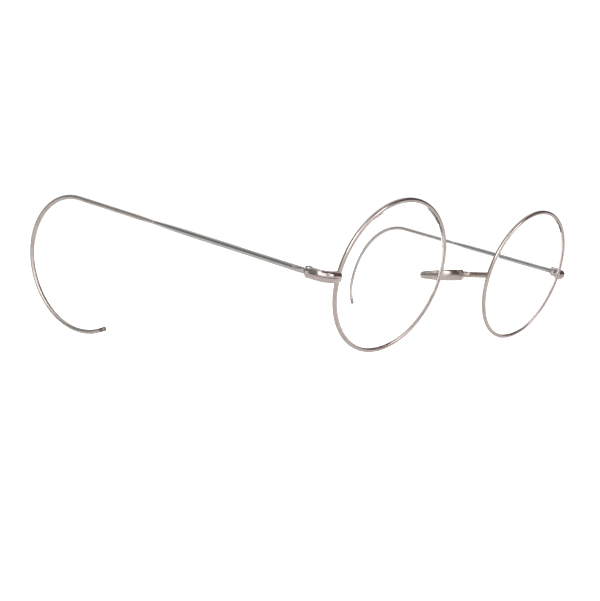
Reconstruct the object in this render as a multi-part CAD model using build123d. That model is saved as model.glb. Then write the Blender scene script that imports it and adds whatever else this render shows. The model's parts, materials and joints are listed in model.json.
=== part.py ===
from build123d import *
import os
from math import cos, radians, sin, sqrt, tan

# Round wire eyeglasses with cable temples, in millimetres.
# The front is built with its lens plane on XZ, midway between the lenses, +Y towards the wearer's
# face and +Z up. "left" and "right" are the wearer's own sides: left is +X, right is -X.
# At the end everything is tipped and lifted as one, so that the open glasses stand on a table at
# Z = 0 on three points: the bottoms of both rims and the bottom of the right ear cable.

# Lenses and rims
eye_size = 40.0             # lens diameter over the bevel
bridge_size = 24.0          # shortest distance between the lenses
rim_wire = 1.2              # diameter of the round rim wire
groove_depth = 0.5          # V groove inside the rim wire
groove_half_angle = 50.0    # of the V, and of the lens bevel
lens_thickness = 1.1
lens_curve = 130.0          # radius of both lens faces
bevel_clearance = 0.03      # lens bevel to groove, along the radius

# Bridge: one wire, round at its arms and flattened into a saddle between them
bridge_height = 0.2         # of its ends above the middle of the rims
bridge_inset = 0.35         # its ends towards the nose, from the middle of the rim wire
bridge_angle = 17.5         # downward slope of the bridge towards the face
bridge_arm_length = 5.3     # straight part behind each rim
bridge_turn_radius = 2.2
bridge_arch_angle = 50.0    # how far each turn goes past square, which arches the saddle forward
arm_width = 1.7             # up and down
arm_thickness = 1.1
saddle_width = 3.1
saddle_thickness = 0.9
saddle_share = 0.4          # of the arch that has the full saddle width
section_spacing = 0.8       # between the oval sections that the bent part is lofted through

# Endpieces: two halves, closed by the hinge screw, turned back behind each rim
endpiece_height = 2.9
endpiece_width = 2.2
endpiece_reach = 1.85       # straight out from the rim before the turn
endpiece_turn_radius = 3.0
endpiece_back = 2.5         # straight back from the turn to the hinge axis
endpiece_tilt = 4.0         # downward slope towards the hinge
closing_gap = 0.14          # between the two halves and between the rim ends
lens_space = 0.25           # metal cleared away around the lens opening

# Hinges
screw_diameter = 1.2
screw_head_diameter = 1.9
screw_head_height = 0.5
screw_head_rounding = 0.35
screw_tip_recess = 0.05     # tip inside the lower half
screw_slot_width = 0.3
screw_slot_depth = 0.22
lug_thickness = 0.48        # metal over and under the temple eye
screw_hole_clearance = 0.02
eye_clearance = 0.05        # temple eye on its screw, along the radius
eye_wall = 0.5              # metal around the screw hole
eye_height = 0.85
eye_corner_radius = 0.25    # where the flat eye runs into the neck
eye_side_clearance = 0.04   # temple eye to the endpiece halves, above and below
eye_end_clearance = 0.1     # round front of the temple eye to the endpiece
splay = 13.0                # open temples point this far outwards

# Temples: a tapered shaft, then a flexible cable that hooks round the ear
neck_width = 1.5
neck_gap = 0.2              # end of the flat eye, behind the endpiece
neck_length = 3.0
shaft_diameter = 1.6        # at the neck
shaft_waist_diameter = 1.5  # where the final taper starts
taper_length = 13.0         # of the final taper
shaft_end_diameter = 0.95   # where the cable starts
shaft_length = 50.0         # hinge axis to cable
cable_diameter = 1.25
cable_lead_in = 6.0         # tapered start of the winding
core_diameter = 0.6
core_clearance = 0.03
tip_ball_diameter = 1.4
tip_neck_diameter = 0.9
tip_collar_length = 0.55
tip_length = 2.2

# Finding how the open glasses stand
steepest_tilt = 45.0
tilt_tolerance = 1e-6
path_samples = 240


class Temple:
    """One temple: its side, its drop below the lens axis, where the bend starts and its arcs."""

    def __init__(self, name, sign, drop, bend_start, arcs):
        self.name = name
        self.sign = sign
        self.drop = drop
        self.bend_start = bend_start
        self.arcs = arcs


# Each pair is used and bent by its wearer, so the two ear hooks differ. Arcs are (radius, turn).
temples = [
    Temple("right", -1, 3.3, 79.5, [(17.8, 118.0), (22.2, 91.5)]),
    Temple("left", 1, 6.1, 80.6, [(30.0, 88.0), (13.5, 37.0)]),
]

rim_inner = eye_size / 2 - groove_depth
rim_radius = rim_inner + rim_wire / 2
lens_centre = (eye_size + bridge_size) / 2
eye_radius = screw_diameter / 2 + eye_clearance + eye_wall
slot_height = eye_height + 2 * eye_side_clearance
seat_height = slot_height / 2 + lug_thickness
neck_start = endpiece_width / 2 + neck_gap
temporal = lens_centre + rim_radius
endpiece_length = endpiece_reach + endpiece_turn_radius + endpiece_back + endpiece_width
upright = (Align.CENTER, Align.CENTER, Align.MIN)


def tilted(origin, angle):
    """A plane at origin that slopes down towards the face: its Y runs back, its Z stays up."""
    return Plane(origin=origin, x_dir=(1, 0, 0), z_dir=(0, sin(radians(angle)), cos(radians(angle))))


def on_side(shape, sign):
    """The shape as built on the left side, or its mirror image on the right."""
    return shape if sign > 0 else mirror(shape, about=Plane.YZ)


def ring(profile):
    """A profile drawn in XY, X outwards from the lens axis, turned round the left lens axis."""
    turned = revolve(Plane.XY * profile, axis=Axis.Y)
    return Pos(lens_centre, 0, 0) * turned


def solid_wire_ring():
    return ring(Pos(rim_radius, 0) * Circle(rim_wire / 2))


def v_profile(tip_radius, depth):
    """The triangle of the V groove or bevel, its tip at tip_radius and its base depth further in."""
    half = depth * tan(radians(groove_half_angle))
    base = tip_radius - depth
    return make_face(Polyline((tip_radius, 0), (base, half), (base, -half), close=True))


hinge_plane = tilted((temporal, 0, 0), endpiece_tilt)


def closing_slab(reach):
    """The thin gap at the height of the rim's split, as wide as reach each way."""
    return hinge_plane * Box(2 * reach, 2 * reach, closing_gap)


def rim():
    wire = Pos(rim_radius, 0) * Circle(rim_wire / 2)
    groove = v_profile(eye_size / 2, groove_depth + rim_wire / 2)
    return ring(wire - groove) - closing_slab(rim_wire)


def lens():
    """A thin meniscus, bulging forwards, its edge ground to a V bevel all round."""
    half = lens_thickness / 2
    tip = eye_size / 2 - bevel_clearance
    bevel_depth = half / tan(radians(groove_half_angle))
    edge = tip - bevel_depth
    bulge = lens_curve - sqrt(lens_curve**2 - edge**2)
    plate = Pos(lens_centre, -bulge / 2, 0) * Rot(90, 0, 0) * Cylinder(edge, lens_thickness + bulge)
    plate &= Pos(lens_centre, lens_curve - bulge - half, 0) * Sphere(lens_curve)
    plate -= Pos(lens_centre, lens_curve - bulge + half, 0) * Sphere(lens_curve)
    return plate + ring(v_profile(tip, bevel_depth))


def bridge_path():
    """Right rim to left rim, in the bridge's own plane with Y running back."""
    rise = sqrt(rim_radius**2 - bridge_height**2)
    foot = lens_centre - rise - bridge_inset
    arm = Line((foot, 0), (foot, bridge_arm_length))
    turn = JernArc(arm @ 1, arm % 1, bridge_turn_radius, 90 + bridge_arch_angle)
    half_span = (turn @ 1).X
    arch_radius = half_span / sin(radians(bridge_arch_angle))
    arch = JernArc(turn @ 1, turn % 1, arch_radius, -2 * bridge_arch_angle)
    turn_back = JernArc(arch @ 1, arch % 1, bridge_turn_radius, 90 + bridge_arch_angle)
    arm_back = Line(turn_back @ 1, (-foot, 0))
    return [arm, turn, arch, turn_back, arm_back]


def bridge_sections(turn, arch, turn_back):
    """Oval sections evenly round the turns and the arch, from arm to wide thin saddle and back."""
    path = Wire([turn, arch, turn_back])
    flattened = turn.length + arch.length * (1 - saddle_share) / 2
    steps = 2 * round(path.length / section_spacing / 2)
    sections = []
    for n in range(steps + 1):
        distance = path.length * n / steps
        share = min(distance, path.length - distance, flattened) / flattened
        flat = share**2 * (3 - 2 * share)
        width = arm_width + (saddle_width - arm_width) * flat
        thickness = arm_thickness + (saddle_thickness - arm_thickness) * flat
        middle = path.position_at(distance, PositionMode.LENGTH)
        along = path.tangent_at(distance, PositionMode.LENGTH)
        across = Plane(origin=middle, x_dir=(0, 0, 1), z_dir=along)
        sections.append(across * Ellipse(width / 2, thickness / 2))
    return sections


def bridge():
    """Straight arms and one loft between them, its ends fitted to the rims."""
    arm, *bent, arm_back = bridge_path()
    sections = bridge_sections(*bent)
    body = loft(sections) + extrude(sections[0], -arm.length) + extrude(sections[-1], arm_back.length)
    body = tilted((0, 0, bridge_height), bridge_angle) * body
    wires = solid_wire_ring()
    return body - wires - mirror(wires, about=Plane.YZ)


def endpiece_path():
    """From the rim's outermost point out, round and back to the hinge axis, seen from above."""
    out = Line((0, 0), (endpiece_reach, 0))
    turn = JernArc(out @ 1, out % 1, endpiece_turn_radius, 90 - splay)
    back = Line(turn @ 1, turn @ 1 + turn % 1 * endpiece_back)
    return Wire([out, turn, back])


def hinge_point():
    """The hinge axis where it crosses the endpiece's own plane."""
    return endpiece_path() @ 1


def endpiece_blank():
    """The oval bar that both halves are cut from, round at both ends."""
    path = endpiece_path()
    oval = Ellipse(endpiece_height / 2, endpiece_width / 2)
    bar = sweep(Plane(origin=path @ 0, x_dir=(0, 0, 1), z_dir=path % 0) * oval, path=path)
    half = Ellipse(endpiece_width / 2, endpiece_height / 2)
    half &= Pos(endpiece_width / 2, 0) * Rectangle(endpiece_width, endpiece_height)
    end = revolve(Plane.XZ * half, axis=Axis.Z)
    return bar + end + Pos(*hinge_point()) * end


def screw_bore(radius):
    return Pos(*hinge_point()) * Cylinder(radius, 2 * endpiece_height)


def temple_slot():
    """Room between the halves for the temple's eye and neck, from open to folded."""
    point = hinge_point()
    room = 2 * endpiece_width
    round_end = Pos(*point) * Cylinder(eye_radius + eye_end_clearance, slot_height)
    swing = Pos(point.X, point.Y - neck_width / 2 - eye_end_clearance + room)
    return round_end + swing * Box(2 * room, 2 * room, slot_height)


def endpieces():
    """The upper and the lower half on the left side."""
    blank = endpiece_blank() - temple_slot() - screw_bore(screw_diameter / 2 + screw_hole_clearance)
    seat = Pos(hinge_point().X, hinge_point().Y, seat_height + endpiece_height)
    blank -= seat * Cylinder(screw_head_diameter / 2 + screw_hole_clearance, 2 * endpiece_height)
    blank = hinge_plane * blank - closing_slab(endpiece_length) - solid_wire_ring()
    opening = Rot(90, 0, 0) * Cylinder(rim_inner + lens_space, 2 * endpiece_width)
    blank -= Pos(lens_centre, 0, 0) * opening
    halves = blank.solids().sort_by(Axis.Z)
    return halves[-1], halves[0]


def hinge_screw():
    """A slotted round-headed screw, head up, its tip just inside the lower half."""
    tip = screw_tip_recess - endpiece_height / 2
    shank = Pos(0, 0, tip) * Cylinder(screw_diameter / 2, seat_height - tip, align=upright)
    head = Cylinder(screw_head_diameter / 2, screw_head_height, align=upright)
    head = fillet(head.edges().group_by(Axis.Z)[-1], screw_head_rounding)
    slot = Box(screw_head_diameter, screw_slot_width, 2 * screw_slot_depth)
    head -= Pos(0, 0, screw_head_height) * slot
    return hinge_plane * Pos(*hinge_point()) * (shank + Pos(0, 0, seat_height) * head)


def temple_plane(temple):
    """Origin on the hinge, X along the shaft, Y up, for a temple on the left side."""
    out, drop = radians(splay), radians(temple.drop)
    along = Vector(sin(out) * cos(drop), cos(out) * cos(drop), -sin(drop))
    outwards = Vector(cos(out), -sin(out), 0)
    return Plane(origin=hinge_plane.from_local_coords(hinge_point()), x_dir=along, z_dir=outwards)


def shaft(temple):
    """The flat eye on the hinge screw, the neck and the tapered round shaft, in one piece."""
    eye = Cylinder(eye_radius, eye_height)
    eye += Pos(neck_start / 2, 0) * Box(neck_start, neck_width, eye_height)
    eye = hinge_plane * (Pos(*hinge_point()) * Rot(0, 0, 90 - splay) * eye)
    plane = temple_plane(temple)
    across = Rot(0, 90, 0)
    neck_end = neck_start + neck_length
    flat = across * RectangleRounded(eye_height, neck_width, eye_corner_radius)
    round_end = across * Circle(shaft_diameter / 2)
    neck = loft([plane * Pos(neck_start, 0, 0) * flat, plane * Pos(neck_end, 0, 0) * round_end])
    side = Line((neck_end, shaft_diameter / 2), (shaft_length - taper_length, shaft_waist_diameter / 2))
    taper = TangentArc(side @ 1, (shaft_length, shaft_end_diameter / 2), tangent=side % 1)
    rest = Polyline(taper @ 1, (shaft_length, 0), (neck_end, 0), side @ 0)
    rod = plane * revolve(Plane.XY * make_face([side, taper, rest]), axis=Axis.X)
    return eye + neck + rod - hinge_plane * screw_bore(screw_diameter / 2 + eye_clearance)


def cable_path(temple, start):
    """The cable's middle line from start on, in the temple's plane: straight, then its arcs."""
    plane = temple_plane(temple)
    edges = [Line((start, 0), (temple.bend_start, 0))]
    for radius, turn in temple.arcs:
        edges.append(JernArc(edges[-1] @ 1, edges[-1] % 1, radius, -turn))
    return plane * Wire(edges)


def along_cable(temple, start, section):
    """A round section swept along the cable from start to its end."""
    path = cable_path(temple, start)
    return sweep(Plane(origin=path @ 0, z_dir=path % 0) * section, path=path)


def cable_winding(temple):
    """The wound outer wire as a tube, tapered down to the shaft where it starts."""
    bore = core_diameter / 2 + core_clearance
    full = shaft_length + cable_lead_in
    outer = [(shaft_length, shaft_end_diameter / 2), (full, cable_diameter / 2)]
    wall = make_face(Polyline((shaft_length, bore), *outer, (full, bore), close=True))
    lead_in = temple_plane(temple) * revolve(wall, axis=Axis.X)
    return lead_in + along_cable(temple, full, Circle(cable_diameter / 2) - Circle(bore))


def cable_core(temple):
    return along_cable(temple, shaft_length, Circle(core_diameter / 2))


def cable_tip(temple):
    """A collar as wide as the cable, a neck and a small ball, on the end of the cable."""
    path = cable_path(temple, shaft_length)
    ball_centre = tip_length - tip_ball_diameter / 2
    collar = Pos(0, tip_collar_length / 2) * Rectangle(cable_diameter, tip_collar_length)
    neck = Pos(0, ball_centre / 2) * Rectangle(tip_neck_diameter, ball_centre)
    outline = collar + neck + Pos(0, ball_centre) * Circle(tip_ball_diameter / 2)
    half = outline & Pos(tip_length, 0) * Rectangle(2 * tip_length, 4 * tip_length)
    return Plane(origin=path @ 1, z_dir=path % 1) * revolve(Plane.XZ * half, axis=Axis.Z)


def lowest(path, tilt):
    """Height of the lowest point of a path once the glasses are tipped by tilt degrees."""
    points = [path @ (n / path_samples) for n in range(path_samples + 1)]
    return min(point.rotate(Axis.X, tilt).Z for point in points)


def resting_tilt():
    """The tilt at which the rims and the right ear cable reach equally far down."""
    path = cable_path(temples[0], shaft_length)
    low, high = 0.0, steepest_tilt
    while high - low > tilt_tolerance:
        middle = (low + high) / 2
        rims = -rim_radius * cos(radians(middle)) - rim_wire / 2
        if lowest(path, middle) - cable_diameter / 2 < rims:
            low = middle
        else:
            high = middle
    return (low + high) / 2


def build():
    """Every node by name, in the front's own frame."""
    nodes = {"bridge": bridge()}
    upper, lower = endpieces()
    pairs = {"rim": rim(), "lens": lens(), "endpiece_upper": upper, "endpiece_lower": lower,
             "hinge_screw": hinge_screw()}
    for temple in temples:
        for name, shape in pairs.items():
            nodes[f"{name}_{temple.name}"] = on_side(shape, temple.sign)
        for name, make in (("temple_shaft", shaft), ("cable_winding", cable_winding),
                           ("cable_core", cable_core), ("cable_tip", cable_tip)):
            nodes[f"{name}_{temple.name}"] = on_side(make(temple), temple.sign)
    return nodes


def resting_location(nodes, tilt):
    """Tips the glasses, sets them on Z = 0 and centres them over the origin."""
    tipped = [Rot(tilt, 0, 0) * shape for shape in nodes.values()]
    box = Compound(children=tipped).bounding_box()
    lift = rim_radius * cos(radians(tilt)) + rim_wire / 2
    return Pos(-(box.min.X + box.max.X) / 2, -(box.min.Y + box.max.Y) / 2, lift) * Rot(tilt, 0, 0)


def main():
    os.makedirs("parts", exist_ok=True)
    nodes = build()
    tilt = resting_tilt()
    rest = resting_location(nodes, tilt)
    for name, shape in nodes.items():
        placed = rest * shape
        export_step(placed, f"parts/{name}.step")
        print(name, round(placed.volume, 3), "mm3", len(placed.solids()), "solid(s)")
    print("resting tilt", round(tilt, 3), "rest position", [round(v, 3) for v in rest.position])


if __name__ == "__main__":
    main()
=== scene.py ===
"""Round wire eyeglasses with cable temples: finishes, wound ear cables and a plain studio."""
import json
import logging
from dataclasses import dataclass, field
from enum import Enum
from math import cos, pi, radians, sin

import bmesh
import bpy
from mathutils import Matrix, Vector


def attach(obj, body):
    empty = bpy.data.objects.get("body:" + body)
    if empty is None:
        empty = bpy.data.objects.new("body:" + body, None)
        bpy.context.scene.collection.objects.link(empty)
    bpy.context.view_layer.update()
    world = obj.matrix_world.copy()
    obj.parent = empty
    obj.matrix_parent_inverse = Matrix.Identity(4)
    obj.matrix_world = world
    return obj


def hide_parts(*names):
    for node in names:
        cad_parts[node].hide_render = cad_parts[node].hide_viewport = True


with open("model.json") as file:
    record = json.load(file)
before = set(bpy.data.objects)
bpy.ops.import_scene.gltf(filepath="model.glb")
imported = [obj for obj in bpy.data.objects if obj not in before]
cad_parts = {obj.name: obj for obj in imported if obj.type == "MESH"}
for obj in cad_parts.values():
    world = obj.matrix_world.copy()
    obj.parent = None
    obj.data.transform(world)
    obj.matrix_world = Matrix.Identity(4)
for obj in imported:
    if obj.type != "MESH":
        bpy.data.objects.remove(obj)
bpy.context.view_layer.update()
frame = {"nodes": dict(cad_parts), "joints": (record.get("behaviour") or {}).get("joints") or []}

log = logging.getLogger("eyeglasses")
MM = 0.001
BLACK = (0.0, 0.0, 0.0, 1.0)
WHITE = (1.0, 1.0, 1.0, 1.0)


class Side(Enum):
    """The wearer's own sides, with the sign of their X."""

    RIGHT = ("right", -1)
    LEFT = ("left", 1)

    @property
    def label(self) -> str:
        """The side as it stands in node names."""
        return self.value[0]

    @property
    def sign(self) -> int:
        """Minus one on the right, one on the left."""
        return self.value[1]


class Polish(Enum):
    """How smooth a metal surface has stayed."""

    BRIGHT = 0.10
    HANDLED = 0.16
    WOUND = 0.24
    DULL = 0.34


def deselect_all() -> None:
    """Nothing selected, so that an operator acts on new work only."""
    for item in bpy.context.selected_objects:
        item.select_set(False)


def make_active(item: bpy.types.Object) -> None:
    """Selects one object alone and makes it the active one.

    Args:
        item: The object that the next operators act on.
    """
    deselect_all()
    item.select_set(True)
    bpy.context.view_layer.objects.active = item


def settle(item: bpy.types.Object) -> None:
    """Puts an object's place, turn and scale into its mesh.

    Args:
        item: A finished piece.
    """
    make_active(item)
    bpy.ops.object.transform_apply(location=True, rotation=True, scale=True)


class NodeTree:
    """Short ways to add and join the nodes of one tree."""

    def __init__(self, tree: bpy.types.NodeTree) -> None:
        """Keeps the tree.

        Args:
            tree: A material's, a world's or a group's node tree.
        """
        self.tree = tree

    def add(self, kind: str, **values: object) -> bpy.types.Node:
        """Adds a node.

        Args:
            kind: The node's type name.
            **values: Properties of the node, or inputs written with spaces as underscores.

        Returns:
            The new node.
        """
        node = self.tree.nodes.new(kind)
        for name, value in values.items():
            if hasattr(node, name):
                setattr(node, name, value)
            else:
                node.inputs[name.replace("_", " ")].default_value = value
        return node

    def join(self, start: bpy.types.NodeSocket, end: bpy.types.NodeSocket) -> None:
        """Links an output to an input.

        Args:
            start: The output.
            end: The input.
        """
        self.tree.links.new(start, end)

    def ramp(self, source: bpy.types.NodeSocket, stops: list[tuple[float, tuple]]) -> bpy.types.Node:
        """A colour ramp fed by a value.

        Args:
            source: The value.
            stops: Positions with their colours.

        Returns:
            The ramp node.
        """
        node = self.tree.nodes.new("ShaderNodeValToRGB")
        elements = node.color_ramp.elements
        while len(elements) < len(stops):
            elements.new(0.5)
        for element, (position, colour) in zip(elements, stops):
            element.position = position
            element.color = colour
        self.join(source, node.inputs["Fac"])
        return node

    def seen_directly(self) -> bpy.types.NodeSocket:
        """A mask that is one where the camera looks, plainly or through glass, and zero in reflections.

        Returns:
            The mask's output.
        """
        path = self.add("ShaderNodeLightPath")
        either = self.add("ShaderNodeMath", operation="MAXIMUM")
        self.join(path.outputs["Is Camera Ray"], either.inputs[0])
        self.join(path.outputs["Is Transmission Ray"], either.inputs[1])
        return either.outputs["Value"]


class HandledMetal:
    """The shader node group that every metal shares: tarnish, handling marks and polishing lines."""

    NAME = "handled_metal"
    INPUTS = (
        ("Metal", "NodeSocketColor"),
        ("Tarnish", "NodeSocketColor"),
        ("Tarnish Amount", "NodeSocketFloat"),
        ("Roughness", "NodeSocketFloat"),
        ("Line Scale", "NodeSocketFloat"),
    )
    OUTPUTS = (("Color", "NodeSocketColor"), ("Roughness", "NodeSocketFloat"), ("Height", "NodeSocketFloat"))
    CLOUD_SCALE = 260.0
    CLOUD_EDGES = (0.42, 0.68)
    SMEAR_SCALE = 900.0
    SMEAR_ROUGHNESS = (-0.04, 0.08)
    TARNISH_ROUGHNESS = 0.25
    LINE_STRETCH = (1.0, 0.08, 1.0)

    def build(self) -> bpy.types.NodeTree:
        """Builds the group once.

        Returns:
            The group, new or already made.
        """
        if self.NAME in bpy.data.node_groups:
            return bpy.data.node_groups[self.NAME]
        group = bpy.data.node_groups.new(self.NAME, "ShaderNodeTree")
        for name, kind in self.INPUTS:
            group.interface.new_socket(name=name, in_out="INPUT", socket_type=kind)
        for name, kind in self.OUTPUTS:
            group.interface.new_socket(name=name, in_out="OUTPUT", socket_type=kind)
        nodes = NodeTree(group)
        start, end = nodes.add("NodeGroupInput"), nodes.add("NodeGroupOutput")
        place = nodes.add("ShaderNodeTexCoord")

        clouds = nodes.add("ShaderNodeTexNoise", Scale=self.CLOUD_SCALE, Detail=5.0, Roughness=0.6)
        nodes.join(place.outputs["Object"], clouds.inputs["Vector"])
        patches = nodes.ramp(clouds.outputs["Fac"], [
            (self.CLOUD_EDGES[0], BLACK), (self.CLOUD_EDGES[1], WHITE)])
        share = nodes.add("ShaderNodeMath", operation="MULTIPLY")
        nodes.join(patches.outputs["Color"], share.inputs[0])
        nodes.join(start.outputs["Tarnish Amount"], share.inputs[1])
        colour = nodes.add("ShaderNodeMix", data_type="RGBA")
        nodes.join(share.outputs["Value"], colour.inputs["Factor"])
        nodes.join(start.outputs["Metal"], colour.inputs[6])
        nodes.join(start.outputs["Tarnish"], colour.inputs[7])
        nodes.join(colour.outputs[2], end.inputs["Color"])

        smears = nodes.add("ShaderNodeTexNoise", Scale=self.SMEAR_SCALE, Detail=4.0)
        nodes.join(place.outputs["Object"], smears.inputs["Vector"])
        spread = nodes.add("ShaderNodeMapRange")
        spread.inputs["To Min"].default_value, spread.inputs["To Max"].default_value = self.SMEAR_ROUGHNESS
        nodes.join(smears.outputs["Fac"], spread.inputs["Value"])
        dulled = nodes.add("ShaderNodeMath", operation="MULTIPLY_ADD")
        nodes.join(share.outputs["Value"], dulled.inputs[0])
        dulled.inputs[1].default_value = self.TARNISH_ROUGHNESS
        nodes.join(spread.outputs["Result"], dulled.inputs[2])
        total = nodes.add("ShaderNodeMath", operation="ADD", use_clamp=True)
        nodes.join(dulled.outputs["Value"], total.inputs[0])
        nodes.join(start.outputs["Roughness"], total.inputs[1])
        nodes.join(total.outputs["Value"], end.inputs["Roughness"])

        stretch = nodes.add("ShaderNodeMapping")
        stretch.inputs["Scale"].default_value = self.LINE_STRETCH
        nodes.join(place.outputs["Object"], stretch.inputs["Vector"])
        lines = nodes.add("ShaderNodeTexNoise", Detail=3.0)
        nodes.join(stretch.outputs["Vector"], lines.inputs["Vector"])
        nodes.join(start.outputs["Line Scale"], lines.inputs["Scale"])
        nodes.join(lines.outputs["Fac"], end.inputs["Height"])
        return group


@dataclass(frozen=True)
class MetalFinish:
    """One metal finish of the glasses."""

    name: str
    metal: tuple[float, float, float, float]
    tarnish: tuple[float, float, float, float]
    tarnish_amount: float
    polish: Polish
    line_scale: float = 9000.0
    line_depth: float = 0.06

    def build(self) -> bpy.types.Material:
        """Makes the material.

        Returns:
            A new node-based material.
        """
        material = bpy.data.materials.new(self.name)
        material.use_nodes = True
        nodes = NodeTree(material.node_tree)
        shader = material.node_tree.nodes["Principled BSDF"]
        shader.inputs["Metallic"].default_value = 1.0
        worn = nodes.add("ShaderNodeGroup", node_tree=HandledMetal().build())
        worn.inputs["Metal"].default_value = self.metal
        worn.inputs["Tarnish"].default_value = self.tarnish
        worn.inputs["Tarnish Amount"].default_value = self.tarnish_amount
        worn.inputs["Roughness"].default_value = self.polish.value
        worn.inputs["Line Scale"].default_value = self.line_scale
        nodes.join(worn.outputs["Color"], shader.inputs["Base Color"])
        nodes.join(worn.outputs["Roughness"], shader.inputs["Roughness"])
        bump = nodes.add("ShaderNodeBump", Strength=self.line_depth, Distance=0.02 * MM)
        nodes.join(worn.outputs["Height"], bump.inputs["Height"])
        nodes.join(bump.outputs["Normal"], shader.inputs["Normal"])
        return material


@dataclass(frozen=True)
class GlassFinish:
    """Clear thin glass: hardly bends what is seen through it, and keeps its gloss as a coat."""

    name: str = "lens_glass"
    colour: tuple[float, float, float, float] = (0.985, 0.99, 0.985, 1)
    ior: float = 1.05
    gloss: float = 0.25
    gloss_roughness: float = 0.02
    wiped_colour: tuple[float, float, float, float] = (0.97, 0.98, 0.975, 1)
    film_roughness: float = 0.02

    def build(self) -> bpy.types.Material:
        """Makes the material.

        Returns:
            A new node-based material.
        """
        material = bpy.data.materials.new(self.name)
        material.use_nodes = True
        nodes = NodeTree(material.node_tree)
        shader = material.node_tree.nodes["Principled BSDF"]
        shader.inputs["Transmission Weight"].default_value = 1.0
        shader.inputs["IOR"].default_value = self.ior
        shader.inputs["Coat Weight"].default_value = self.gloss
        shader.inputs["Coat Roughness"].default_value = self.gloss_roughness
        place = nodes.add("ShaderNodeTexCoord")
        wiped = nodes.add("ShaderNodeTexNoise", Scale=120.0, Detail=3.0)
        nodes.join(place.outputs["Object"], wiped.inputs["Vector"])
        tint = nodes.ramp(wiped.outputs["Fac"], [(0.3, self.colour), (0.8, self.wiped_colour)])
        nodes.join(tint.outputs["Color"], shader.inputs["Base Color"])
        film = nodes.add("ShaderNodeMapRange")
        film.inputs["To Min"].default_value = 0.0
        film.inputs["To Max"].default_value = self.film_roughness
        nodes.join(wiped.outputs["Fac"], film.inputs["Value"])
        nodes.join(film.outputs["Result"], shader.inputs["Roughness"])
        return material


NICKEL_SILVER = MetalFinish(
    "nickel_silver", (0.50, 0.44, 0.41, 1), (0.36, 0.29, 0.25, 1), 0.45, Polish.BRIGHT)
BRIDGE_METAL = MetalFinish(
    "bridge_nickel_silver", (0.50, 0.44, 0.40, 1), (0.32, 0.25, 0.20, 1), 0.8, Polish.HANDLED)
TEMPLE_METAL = MetalFinish(
    "temple_nickel_silver", (0.47, 0.465, 0.45, 1), (0.30, 0.28, 0.26, 1), 0.4, Polish.BRIGHT)
WOUND_WIRE = MetalFinish("wound_wire", (0.50, 0.46, 0.42, 1), (0.34, 0.29, 0.25, 1), 0.5, Polish.WOUND)
CORE_WIRE = MetalFinish("core_wire", (0.50, 0.48, 0.46, 1), (0.30, 0.26, 0.22, 1), 0.6, Polish.DULL)
SCREW_STEEL = MetalFinish("screw_steel", (0.56, 0.54, 0.52, 1), (0.28, 0.22, 0.17, 1), 0.5, Polish.HANDLED)
TIP_METAL = MetalFinish("dark_tip_metal", (0.30, 0.28, 0.25, 1), (0.20, 0.17, 0.14, 1), 0.7, Polish.HANDLED)
GLASS = GlassFinish()


class Dresser:
    """Gives CAD nodes and new pieces their materials, each material made once."""

    def __init__(self) -> None:
        """Starts with no material made."""
        self.made: dict[str, bpy.types.Material] = {}

    def material(self, finish: MetalFinish | GlassFinish) -> bpy.types.Material:
        """The material of a finish, made the first time.

        Args:
            finish: The finish.

        Returns:
            Its material.
        """
        if finish.name not in self.made:
            self.made[finish.name] = finish.build()
        return self.made[finish.name]

    def dress(self, item: bpy.types.Object, finish: MetalFinish | GlassFinish) -> None:
        """Puts a finish on a piece, in every slot that it has.

        Args:
            item: The piece.
            finish: Its finish.
        """
        material = self.material(finish)
        if not item.material_slots:
            item.data.materials.append(material)
        for slot in item.material_slots:
            slot.material = material
        log.info("%s dressed in %s", item.name, finish.name)

    def dress_node(self, name: str, finish: MetalFinish | GlassFinish) -> bpy.types.Object:
        """Puts a finish on a CAD node.

        Args:
            name: The CAD node.
            finish: Its finish.

        Returns:
            The node's object.
        """
        item = frame["nodes"][name]
        self.dress(item, finish)
        return item


@dataclass
class Front:
    """Rims, lenses, bridge, endpieces and hinge screws."""

    dresser: Dresser

    def build(self) -> None:
        """Dresses the whole front."""
        self.dresser.dress_node("bridge", BRIDGE_METAL)
        for side in Side:
            self.dresser.dress_node(f"rim_{side.label}", NICKEL_SILVER)
            self.dresser.dress_node(f"endpiece_upper_{side.label}", NICKEL_SILVER)
            self.dresser.dress_node(f"endpiece_lower_{side.label}", NICKEL_SILVER)
            self.dresser.dress_node(f"hinge_screw_{side.label}", SCREW_STEEL)
            lens = self.dresser.dress_node(f"lens_{side.label}", GLASS)
            lens.visible_shadow = False


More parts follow.
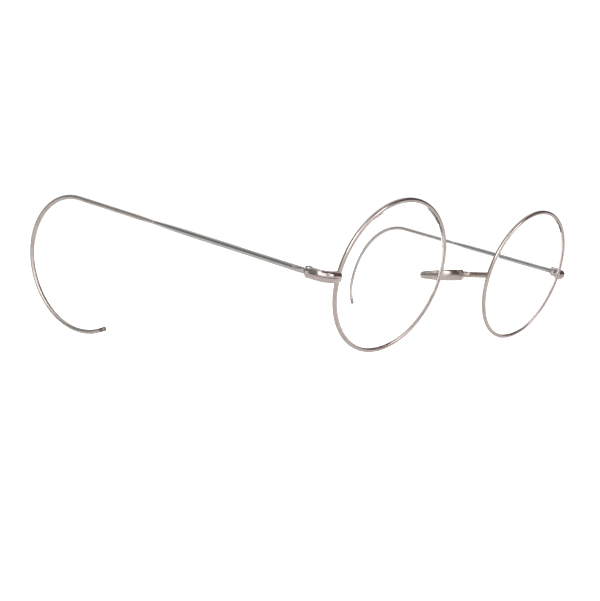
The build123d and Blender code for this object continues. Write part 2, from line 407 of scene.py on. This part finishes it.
@dataclass
class EarCable:
    """A springy cable round one ear: close-wound wire over a core, bent to its wearer."""

    side: Side
    drop: float
    bend_start: float
    arcs: tuple[tuple[float, float], ...]
    dresser: Dresser
    splay: float = 13.0
    endpiece_tilt: float = 4.0
    start: float = 50.0
    start_radius: float = 0.475
    radius: float = 0.625
    lead_in: float = 6.0
    pitch: float = 0.25
    ridge: float = 0.018
    ridge_cuts: int = 3
    steps_per_turn: int = 16
    weld: float = 0.005
    sharp_angle: float = 60.0
    arc_step: float = 1.5
    coil_name: str = field(init=False)

    def __post_init__(self) -> None:
        """Names the coil after its side."""
        self.coil_name = f"ear_cable_{self.side.label}"

    def hinge(self) -> dict:
        """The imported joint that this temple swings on."""
        return next(j for j in frame["joints"] if j["child"] == f"temple_{self.side.label}")

    def plane(self) -> Matrix:
        """The temple's own plane: X along the open shaft, Y up, the origin on the hinge.

        Returns:
            A matrix from that plane to the row frame.
        """
        joint = self.hinge()
        axis = Vector(joint["axis"])
        axis *= 1 if axis.z > 0 else -1
        lean = Vector((0, 0, 1)).rotation_difference(axis).angle + radians(self.endpiece_tilt)
        out, drop = radians(self.splay), radians(self.drop)
        along = Vector((self.side.sign * sin(out) * cos(drop), cos(out) * cos(drop), -sin(drop)))
        outwards = Vector((self.side.sign * cos(out), -sin(out), 0))
        tip = Matrix.Rotation(lean, 3, "X")
        along, outwards = tip @ along, tip @ outwards
        up = outwards.cross(along) * self.side.sign
        matrix = Matrix((along, up, along.cross(up))).transposed().to_4x4()
        matrix.translation = Vector(joint["pos_m"])
        return matrix

    def line(self) -> list[Vector]:
        """The cable's middle line in the row frame.

        Returns:
            Points from the shaft's end to the tip, close together on the bends.
        """
        place = self.plane()
        points = [Vector((self.start, 0, 0)), Vector((self.bend_start, 0, 0))]
        heading, at = 0.0, points[-1].copy()
        for radius, turn in self.arcs:
            centre = at + Vector((sin(heading), -cos(heading), 0)) * radius
            steps = round(turn / self.arc_step)
            for n in range(1, steps + 1):
                angle = heading - radians(turn) * n / steps
                points.append(centre + Vector((-sin(angle), cos(angle), 0)) * radius)
            heading -= radians(turn)
            at = points[-1].copy()
        return [place @ (point * MM) for point in points]

    def curve(self, points: list[Vector]) -> bpy.types.Object:
        """A guide curve through the points.

        Args:
            points: The middle line.

        Returns:
            The curve object, at the origin.
        """
        data = bpy.data.curves.new("cable_guide", "CURVE")
        data.dimensions = "3D"
        data.twist_mode = "MINIMUM"
        spline = data.splines.new("POLY")
        spline.points.add(len(points) - 1)
        for point, place in zip(spline.points, points):
            point.co = (*place, 1)
        guide = bpy.data.objects.new("cable_guide", data)
        bpy.context.scene.collection.objects.link(guide)
        return guide

    def coil(self, length: float) -> bpy.types.Object:
        """A straight close-wound coil along X: one low rounded ridge, screwed round the axis.

        Args:
            length: Of the whole coil, in metres.

        Returns:
            The coil object, open at both ends.
        """
        turns = int(length / (self.pitch * MM)) - 1
        pitch = length / (turns + 1)
        deselect_all()
        bpy.ops.mesh.primitive_plane_add(size=pitch, location=(pitch / 2, 0, 0))
        item = bpy.context.object
        item.name = self.coil_name
        settle(item)
        bpy.ops.object.mode_set(mode="EDIT")
        bpy.ops.mesh.select_all(action="DESELECT")
        mesh = bmesh.from_edit_mesh(item.data)
        for vertex in mesh.verts:
            vertex.select = vertex.co.y > 0
        mesh.select_flush(True)
        bmesh.update_edit_mesh(item.data)
        bpy.ops.mesh.delete(type="VERT")
        bpy.ops.mesh.select_all(action="SELECT")
        bpy.ops.mesh.subdivide(number_cuts=self.ridge_cuts)
        bpy.ops.object.mode_set(mode="OBJECT")
        for vertex in item.data.vertices:
            rise = sin(pi * vertex.co.x / pitch) * self.ridge
            vertex.co = (vertex.co.x, 0, (self.radius - self.ridge + rise) * MM)
        screw = item.modifiers.new("wind", "SCREW")
        screw.axis = "X"
        screw.angle = 2 * pi
        screw.screw_offset = pitch
        screw.iterations = turns
        screw.steps = screw.render_steps = self.steps_per_turn
        bpy.ops.object.modifier_apply(modifier=screw.name)
        bpy.ops.object.mode_set(mode="EDIT")
        bpy.ops.mesh.select_all(action="SELECT")
        bpy.ops.mesh.remove_doubles(threshold=self.weld * MM)
        bpy.ops.object.mode_set(mode="OBJECT")
        return item

    def build(self) -> None:
        """Winds the coil, narrows its start, bends it and puts it in the CAD winding's place."""
        points = self.line()
        length = sum((b - a).length for a, b in zip(points, points[1:]))
        item = self.coil(length)
        for vertex in item.data.vertices:
            share = min(vertex.co.x / (self.lead_in * MM), 1)
            scale = (self.start_radius + (self.radius - self.start_radius) * share) / self.radius
            vertex.co.y *= scale
            vertex.co.z *= scale
        guide = self.curve(points)
        bend = item.modifiers.new("bend", "CURVE")
        bend.object = guide
        bend.deform_axis = "POS_X"
        make_active(item)
        bpy.ops.object.modifier_apply(modifier=bend.name)
        bpy.data.objects.remove(guide)
        bpy.ops.object.mode_set(mode="EDIT")
        bpy.ops.mesh.select_mode(type="VERT")
        bpy.ops.mesh.select_all(action="DESELECT")
        bpy.ops.mesh.select_non_manifold(extend=False, use_boundary=True)
        bpy.ops.mesh.fill()
        bpy.ops.mesh.select_all(action="SELECT")
        bpy.ops.mesh.normals_make_consistent(inside=False)
        bpy.ops.object.mode_set(mode="OBJECT")
        bpy.ops.object.shade_smooth_by_angle(angle=radians(self.sharp_angle))
        self.dresser.dress(item, WOUND_WIRE)
        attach(item, f"temple_{self.side.label}")
        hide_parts(f"cable_winding_{self.side.label}")
        log.info("%s: %.1f mm long, %d faces", item.name, length / MM, len(item.data.polygons))


@dataclass
class Temple:
    """One temple: its shaft, its ear cable, its core and its tip."""

    cable: EarCable

    def build(self) -> None:
        """Dresses the CAD nodes and winds the cable."""
        dresser, label = self.cable.dresser, self.cable.side.label
        dresser.dress_node(f"temple_shaft_{label}", TEMPLE_METAL)
        dresser.dress_node(f"cable_core_{label}", CORE_WIRE)
        dresser.dress_node(f"cable_tip_{label}", TIP_METAL)
        self.cable.build()


@dataclass
class Studio:
    """Floor, surroundings, lights and camera."""

    floor_size: float = 40.0
    floor_colour: tuple[float, float, float, float] = (0.92, 0.92, 0.92, 1)
    eye: tuple[float, float, float] = (-0.195272, -0.188025, 0.026673)
    camera_axes: tuple[tuple[float, float, float], ...] = (
        (0.716469, -0.697113, 0.026552), (0.026129, 0.064849, 0.997553), (-0.697129, -0.714022, 0.064677))
    focal_length: float = 49.12
    # Round the horizon: front 0, wearer's right 0.25, face side 0.5, wearer's left 0.75
    wall_top: float = 0.70
    walls: tuple[tuple[float, tuple[float, float, float, float]], ...] = (
        (0.0, (1.5, 1.46, 1.52, 1)),
        (0.05, (0.55, 0.50, 0.56, 1)),
        (0.08, (2.0, 1.95, 2.0, 1)),
        (0.17, (2.0, 1.95, 2.0, 1)),
        (0.22, (1.1, 1.1, 1.1, 1)),
        (0.27, (0.30, 0.31, 0.31, 1)),
        (0.39, (0.28, 0.29, 0.30, 1)),
        (0.47, (0.38, 0.39, 0.41, 1)),
        (0.56, (0.70, 0.67, 0.68, 1)),
        (0.62, (0.16, 0.12, 0.15, 1)),
        (0.80, (0.16, 0.12, 0.14, 1)),
        (0.93, (0.18, 0.14, 0.16, 1)),
        (0.97, (1.5, 1.46, 1.52, 1)),
    )
    ceiling: tuple[tuple[float, tuple[float, float, float, float]], ...] = (
        (0.0, (0.10, 0.07, 0.09, 1)),
        (0.14, (0.14, 0.10, 0.13, 1)),
        (0.18, (1.9, 1.85, 1.9, 1)),
        (0.25, (1.9, 1.85, 1.9, 1)),
        (0.30, (0.42, 0.43, 0.43, 1)),
        (0.46, (0.42, 0.43, 0.43, 1)),
        (0.54, (1.3, 1.28, 1.25, 1)),
        (0.72, (1.3, 1.26, 1.28, 1)),
        (0.80, (0.35, 0.30, 0.33, 1)),
        (1.0, (0.10, 0.07, 0.09, 1)),
    )
    wall_blend: float = 0.12
    backdrop: float = 1.1
    floor_glow: float = 0.22
    floor_glow_seen: float = 0.7

    def build(self) -> None:
        """Makes the whole studio."""
        self.floor()
        self.surroundings()
        self.lights()
        self.camera()

    def floor(self) -> None:
        """A plain pale floor, wide enough to meet the surroundings far away."""
        deselect_all()
        bpy.ops.mesh.primitive_plane_add(size=self.floor_size)
        item = bpy.context.object
        item.name = "floor"
        material = bpy.data.materials.new("pale_floor")
        material.use_nodes = True
        shader = material.node_tree.nodes["Principled BSDF"]
        shader.inputs["Base Color"].default_value = self.floor_colour
        shader.inputs["Roughness"].default_value = 0.9
        shader.inputs["Specular IOR Level"].default_value = 0.0
        shader.inputs["Emission Color"].default_value = WHITE
        nodes = NodeTree(material.node_tree)
        glow = nodes.add("ShaderNodeMath", operation="MULTIPLY_ADD")
        glow.inputs[1].default_value = self.floor_glow_seen
        glow.inputs[2].default_value = self.floor_glow
        nodes.join(nodes.seen_directly(), glow.inputs[0])
        nodes.join(glow.outputs["Value"], shader.inputs["Emission Strength"])
        item.data.materials.append(material)

    def surroundings(self) -> None:
        """A white tent to look at, and, in reflections, darker walls under a pale ceiling."""
        world = bpy.data.worlds.new("tent")
        bpy.context.scene.world = world
        world.use_nodes = True
        nodes = NodeTree(world.node_tree)
        background = world.node_tree.nodes["Background"]
        place = nodes.add("ShaderNodeTexCoord")
        parts = nodes.add("ShaderNodeSeparateXYZ")
        nodes.join(place.outputs["Generated"], parts.inputs["Vector"])
        turned = nodes.add("ShaderNodeMath", operation="ARCTAN2")
        nodes.join(parts.outputs["X"], turned.inputs[0])
        nodes.join(parts.outputs["Y"], turned.inputs[1])
        azimuth = nodes.add("ShaderNodeMapRange")
        azimuth.inputs["From Min"].default_value = -pi
        azimuth.inputs["From Max"].default_value = pi
        nodes.join(turned.outputs["Value"], azimuth.inputs["Value"])
        walls = nodes.ramp(azimuth.outputs["Result"], list(self.walls))
        height = nodes.ramp(parts.outputs["Z"], [
            (self.wall_top, BLACK), (self.wall_top + self.wall_blend, WHITE)])
        mixed = nodes.add("ShaderNodeMix", data_type="RGBA")
        nodes.join(height.outputs["Color"], mixed.inputs["Factor"])
        nodes.join(walls.outputs["Color"], mixed.inputs[6])
        above = nodes.ramp(azimuth.outputs["Result"], list(self.ceiling))
        nodes.join(above.outputs["Color"], mixed.inputs[7])
        nodes.join(mixed.outputs[2], background.inputs["Color"])
        plain = nodes.add("ShaderNodeBackground", Color=WHITE, Strength=self.backdrop)
        mix = nodes.add("ShaderNodeMixShader")
        nodes.join(nodes.seen_directly(), mix.inputs["Fac"])
        nodes.join(background.outputs["Background"], mix.inputs[1])
        nodes.join(plain.outputs["Background"], mix.inputs[2])
        nodes.join(mix.outputs["Shader"], world.node_tree.nodes["World Output"].inputs["Surface"])

    def softbox(self, name: str, place: Vector, size: tuple[float, float], power: float) -> None:
        """A rectangular soft light that faces the glasses.

        Args:
            name: The light's name.
            place: Its middle.
            size: Its width and height.
            power: Its power in watts.
        """
        data = bpy.data.lights.new(name, "AREA")
        data.shape = "RECTANGLE"
        data.size, data.size_y = size
        data.energy = power
        item = bpy.data.objects.new(name, data)
        item.location = place
        item.rotation_euler = (-place).to_track_quat("-Z", "Y").to_euler()
        bpy.context.scene.collection.objects.link(item)

    def lights(self) -> None:
        """Two soft lights, one high on the left of the camera and one low on its right."""
        self.softbox("key_light", Vector((-0.9, -0.35, 0.55)), (0.35, 0.5), 2.0)
        self.softbox("fill_light", Vector((0.25, -1.0, 0.35)), (0.3, 0.4), 1.2)

    def camera(self) -> None:
        """A camera at the height of a table, in front of the glasses on the wearer's right."""
        data = bpy.data.cameras.new("camera")
        data.sensor_width = 36.0
        data.lens = self.focal_length
        data.clip_start, data.clip_end = 0.005, 100.0
        item = bpy.data.objects.new("camera", data)
        matrix = Matrix(self.camera_axes).transposed().to_4x4()
        matrix.translation = Vector(self.eye)
        item.matrix_world = matrix
        bpy.context.scene.collection.objects.link(item)
        bpy.context.scene.camera = item
        bpy.context.scene.view_settings.view_transform = "Standard"


def main() -> None:
    """Builds the glasses and the studio in order."""
    logging.basicConfig(level=logging.INFO, format="%(message)s")
    dresser = Dresser()
    Front(dresser).build()
    Temple(EarCable(Side.RIGHT, 3.3, 79.5, ((17.8, 118.0), (22.2, 91.5)), dresser)).build()
    Temple(EarCable(Side.LEFT, 6.1, 80.6, ((30.0, 88.0), (13.5, 37.0)), dresser)).build()
    Studio().build()


if __name__ == "__main__":
    main()
